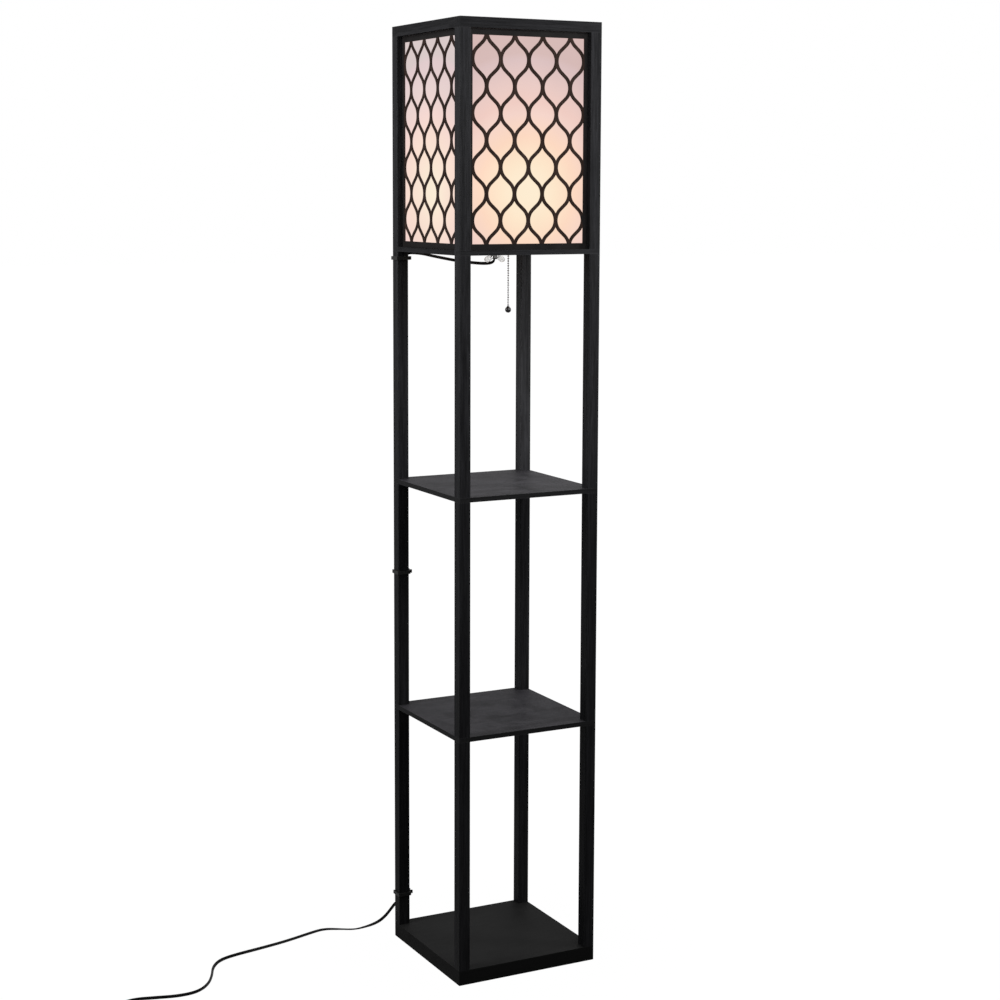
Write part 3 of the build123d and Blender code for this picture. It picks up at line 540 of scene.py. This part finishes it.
# Fretwork: ogee lattice with round arcs, cut from a thin black sheet, in millimetres
PANEL_W, PANEL_H, PANEL_THICKNESS, PANEL_ROUNDING = 227.4, 353.2, 2.0, 0.3
PANEL_FROM_AXIS, SHADE_FOOT = 119, 1229.5
OPEN_W, OPEN_H = 204.8, 333.2
CELLS, OVERRUN = 4, 10.5
PITCH_X, PITCH_Z = OPEN_W / CELLS, (OPEN_H + OVERRUN) / CELLS
STRAND, NODE, SLOPE = 5.6, 6.7, radians(48)
ARC_STEPS = 8
RIM = 1.0


def ogee():
    """Outline of one opening about its middle: arcs at the side and the tip, and straight flanks between them."""
    offset = (NODE - STRAND) / 2
    rise, run = PITCH_Z / 2, PITCH_X / 2 - 2 * offset
    middle_radius = (rise * sin(SLOPE) - run * cos(SLOPE)) / (2 * (1 - cos(SLOPE)))
    inner_radius, outer_radius = middle_radius - STRAND / 2, middle_radius + STRAND / 2
    tip_angle = acos((offset + middle_radius) / outer_radius)
    quarter = []
    for step in range(ARC_STEPS + 1):
        turn = SLOPE * step / ARC_STEPS
        quarter.append((PITCH_X / 2 - offset - middle_radius + inner_radius * cos(turn), inner_radius * sin(turn)))
    for step in range(ARC_STEPS + 1):
        turn = SLOPE + (tip_angle - SLOPE) * step / ARC_STEPS
        quarter.append((offset + middle_radius - outer_radius * cos(turn), rise - outer_radius * sin(turn)))
    upper = quarter + [(-x, z) for x, z in reversed(quarter[:-1])]
    return upper + [(-x, -z) for x, z in upper[1:-1]]


def clipped(points, axis, limit, sign):
    """A closed outline cut by one straight edge."""
    result = []
    for start, end in zip(points, points[1:] + points[:1]):
        inside, next_inside = (sign * point[axis] < limit - TINY for point in (start, end))
        if inside:
            result.append(start)
        if inside != next_inside:
            share = (sign * limit - start[axis]) / (end[axis] - start[axis])
            result.append(tuple(a + (b - a) * share for a, b in zip(start, end)))
    return result


def openings():
    """Two sets of openings, one between the other's, cut at the border."""
    outline = ogee()
    for count in (CELLS, CELLS + 1):
        for column in range(count):
            for row in range(count):
                x0, z0 = (column - (count - 1) / 2) * PITCH_X, (row - (count - 1) / 2) * PITCH_Z
                cell = [(x + x0, z + z0) for x, z in outline]
                for axis, limit in ((0, OPEN_W / 2), (1, OPEN_H / 2)):
                    for sign in (-1, 1):
                        cell = clipped(cell, axis, limit, sign)
                yield cell


def fretwork():
    """The front panel: faces that come within RIM of its edge are border, the rest are strands."""
    curve = bpy.data.curves.new("fretwork_outline", "CURVE")
    curve.dimensions = "2D"
    curve.fill_mode = "BOTH"
    curve.extrude = (PANEL_THICKNESS / 2 - PANEL_ROUNDING) * MM
    curve.bevel_depth = PANEL_ROUNDING * MM
    curve.bevel_resolution = 1
    curve.offset = -PANEL_ROUNDING * MM
    rim_x, rim_z = PANEL_W / 2, PANEL_H / 2
    border = [(-rim_x, -rim_z), (rim_x, -rim_z), (rim_x, rim_z), (-rim_x, rim_z)]
    for outline in (border, *openings()):
        spline = curve.splines.new("POLY")
        spline.points.add(len(outline) - 1)
        for point, (x, z) in zip(spline.points, outline):
            point.co = (x * MM, z * MM, 0, 1)
        spline.use_cyclic_u = True
    holder = linked("fretwork_outline", curve)
    bpy.context.view_layer.update()
    solid = holder.evaluated_get(bpy.context.evaluated_depsgraph_get())
    sheet = bpy.data.meshes.new_from_object(solid)
    bpy.data.objects.remove(holder)
    sheet.name = "fretwork"
    sheet.materials.clear()
    # Strands wear the painted warm glow, the border the sheet's own black
    sheet.materials.append(fret_painted_glow_strand)
    sheet.materials.append(fret_border)
    for face in sheet.polygons:
        places = [sheet.vertices[index].co / MM for index in face.vertices]
        at_rim = any(abs(place.x) > rim_x - RIM or abs(place.y) > rim_z - RIM for place in places)
        face.material_index = 1 if at_rim else 0
    sheet.transform(Matrix.Translation((0, 0, PANEL_FROM_AXIS * MM)))
    sheet.transform(Matrix.Rotation(pi / 2, 4, "X"))
    sheet.transform(Matrix.Translation((0, 0, (SHADE_FOOT + PANEL_H / 2) * MM)))
    return sheet


front_sheet = fretwork()
for index, side in enumerate(SIDES):
    turned_sheet = front_sheet.copy()
    turned_sheet.transform(Matrix.Rotation(index * pi / 2, 4, "Z"))
    panel = keep(f"fretwork_{side}", turned_sheet)
    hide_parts(f"lattice_{side}")

# Pull chain: round beads on a wire, and the ball at its end, in millimetres
CHAIN_X = 26.0
BEAD_RADIUS, BEAD_PITCH, BEAD_STEPS, BEAD_SIDES = 1.6, 4.1, 10, 14
WIRE_RADIUS, WIRE_SIDES = 0.42, 8
LEAST_STEP = 2.0
BALL_RADIUS, BALL_STEPS, BALL_SIDES = 5.25, 20, 32
COLLAR_STEP = 18
COLLAR_FOOT = ((2.15, 4.85), (2.0, 5.2))
COLLAR_RADIUS, COLLAR_CHAMFER_RADIUS, COLLAR_CHAMFER = 2.0, 1.6, 0.3
FLAT_FOOT_ANGLE = radians(20)

# Node, body and beads of each length of chain, which ends in one more bead where LEAST_STEP is left over
CHAIN_LENGTHS = (
    ("chain_top", "chain_slider", 6), ("chain_upper", "chain_hanging", 12), ("chain_lower", "chain_end", 12),
)


def lathe(build, profile, height, sides):
    """A turned surface of (radius, rise) points about the chain's upright axis, from a height in metres."""
    rings = []
    for radius, rise in profile:
        count = sides if radius > TINY else 1
        angles = [2 * pi * k / sides for k in range(count)]
        places = [(CHAIN_X + radius * cos(angle), radius * sin(angle), rise) for angle in angles]
        rings.append([build.verts.new(Vector(place) * MM + Vector((0, 0, height))) for place in places])
    for lower, higher in zip(rings, rings[1:]):
        for k in range(sides):
            here, there = lower[k % len(lower)], lower[(k + 1) % len(lower)]
            above_here, above_there = higher[k % len(higher)], higher[(k + 1) % len(higher)]
            build.faces.new(list(dict.fromkeys((here, there, above_there, above_here))))


def arc(radius, steps, count):
    """The first points of a ball's profile, from its foot up."""
    return [(radius * sin(pi * step / steps), -radius * cos(pi * step / steps)) for step in range(count)]


bead = arc(BEAD_RADIUS, BEAD_STEPS, BEAD_STEPS + 1)
for name, body, count in CHAIN_LENGTHS:
    low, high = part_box(name)
    foot, head = low[2] + BEAD_RADIUS * MM, high[2] - BEAD_RADIUS * MM
    heights = [foot + BEAD_PITCH * MM * step for step in range(count)]
    if head - heights[-1] > LEAST_STEP * MM:
        heights.append(head)
    build = bmesh.new()
    for height in heights:
        lathe(build, bead, height, BEAD_SIDES)
    length = (head - foot) / MM
    lathe(build, [(0, 0), (WIRE_RADIUS, 0), (WIRE_RADIUS, length), (0, length)], foot, WIRE_SIDES)
    beads = finished(build, f"beads_{name}", chrome, body)
    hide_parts(name)

# The ball has the middle of the solid's ball, whose foot is cut flat at an angle from its pole
low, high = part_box("chain_ball")
ball_height = low[2] + BALL_RADIUS * MM * cos(FLAT_FOOT_ANGLE)
neck = (high[2] - ball_height) / MM
ball_profile = [
    *arc(BALL_RADIUS, BALL_STEPS, COLLAR_STEP), *COLLAR_FOOT,
    (COLLAR_RADIUS, neck - COLLAR_CHAMFER), (COLLAR_CHAMFER_RADIUS, neck), (0, neck),
]
build = bmesh.new()
lathe(build, ball_profile, ball_height, BALL_SIDES)
ball = finished(build, "pull_ball", chrome_painted_dark, "chain_end")
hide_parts("chain_ball")

# Studio: a floor and a backdrop that look white and give little light, and four softboxes
FLOOR_REACH = 30
FLOOR_WHITE = 1.02
FLOOR_GREY = (0.25, 0.25, 0.25, 1)
WHITENESS = (0.975, 1.0)
WHITENESS_REACH = (0.2, 1.0)
BACKDROP_FILL, BACKDROP_WHITE = 0.045, 1.0

# Place, aim and size of each softbox in metres, and its power in watts
SOFTBOXES = {
    "front": ((0.1, -1.0, 1.7), (0, -0.1, 1.2), (0.9, 0.4), 14.8),
    "right": ((0.85, -0.6, 1.45), (0, 0, 1.25), (0.2, 0.5), 9),
    "left": ((-1.0, -0.05, 1.55), (0, 0, 1.05), (0.4, 0.9), 16.5),
    "back": ((1.0, 0.9, 2.1), (0.1, 0.1, 1.0), (0.6, 0.8), 10),
}


def seen_directly(tree):
    """1 for rays that the camera sees straight, in a reflection or through clear material."""
    path = tree.nodes.new("ShaderNodeLightPath")
    seen = path.outputs["Is Camera Ray"]
    for name in ("Is Glossy Ray", "Is Transmission Ray"):
        seen = combined(tree, "MAXIMUM", seen, path.outputs[name])
    return seen


def pale_floor():
    """White where it is seen, a shade less under the lamp, and grey where it only gives light."""
    made = bpy.data.materials.new("pale_floor")
    made.use_nodes = True
    tree = made.node_tree
    tree.nodes.clear()
    ending = tree.nodes.new("ShaderNodeOutputMaterial")
    matt = tree.nodes.new("ShaderNodeBsdfDiffuse")
    matt.inputs["Color"].default_value = FLOOR_GREY
    white = tree.nodes.new("ShaderNodeEmission")
    white.inputs["Strength"].default_value = FLOOR_WHITE
    choice = tree.nodes.new("ShaderNodeMixShader")
    whiteness = spread(tree, far_from(tree, (0, 0, 0)), *WHITENESS, *WHITENESS_REACH)
    tree.links.new(combined(tree, "MULTIPLY", seen_directly(tree), whiteness), choice.inputs["Fac"])
    tree.links.new(matt.outputs["BSDF"], choice.inputs[1])
    tree.links.new(white.outputs["Emission"], choice.inputs[2])
    tree.links.new(choice.outputs["Shader"], ending.inputs["Surface"])
    return made


def pale_backdrop():
    made = bpy.data.worlds.new("studio")
    made.use_nodes = True
    tree = made.node_tree
    sky = tree.nodes["Background"]
    sky.inputs["Color"].default_value = (1, 1, 1, 1)
    strength = spread(tree, seen_directly(tree), BACKDROP_FILL, BACKDROP_WHITE)
    tree.links.new(strength, sky.inputs["Strength"])
    return made


def softbox(name, place, aim, size, power):
    data = bpy.data.lights.new(name, "AREA")
    data.shape = "RECTANGLE"
    data.size, data.size_y = size
    data.energy = power
    lamp = linked(name, data)
    lamp.location = place
    lamp.rotation_euler = (Vector(aim) - Vector(place)).to_track_quat("-Z", "Y").to_euler()


floor_mesh = bpy.data.meshes.new("floor")
floor_corners = [(x * FLOOR_REACH, y * FLOOR_REACH, 0) for x, y in ((-1, -1), (1, -1), (1, 1), (-1, 1))]
floor_mesh.from_pydata(floor_corners, [], [(0, 1, 2, 3)])
floor_mesh.materials.append(pale_floor())
floor = linked("floor", floor_mesh)
scene.world = pale_backdrop()
for name, setting in SOFTBOXES.items():
    softbox(name, *setting)

scene.view_settings.view_transform = "Standard"
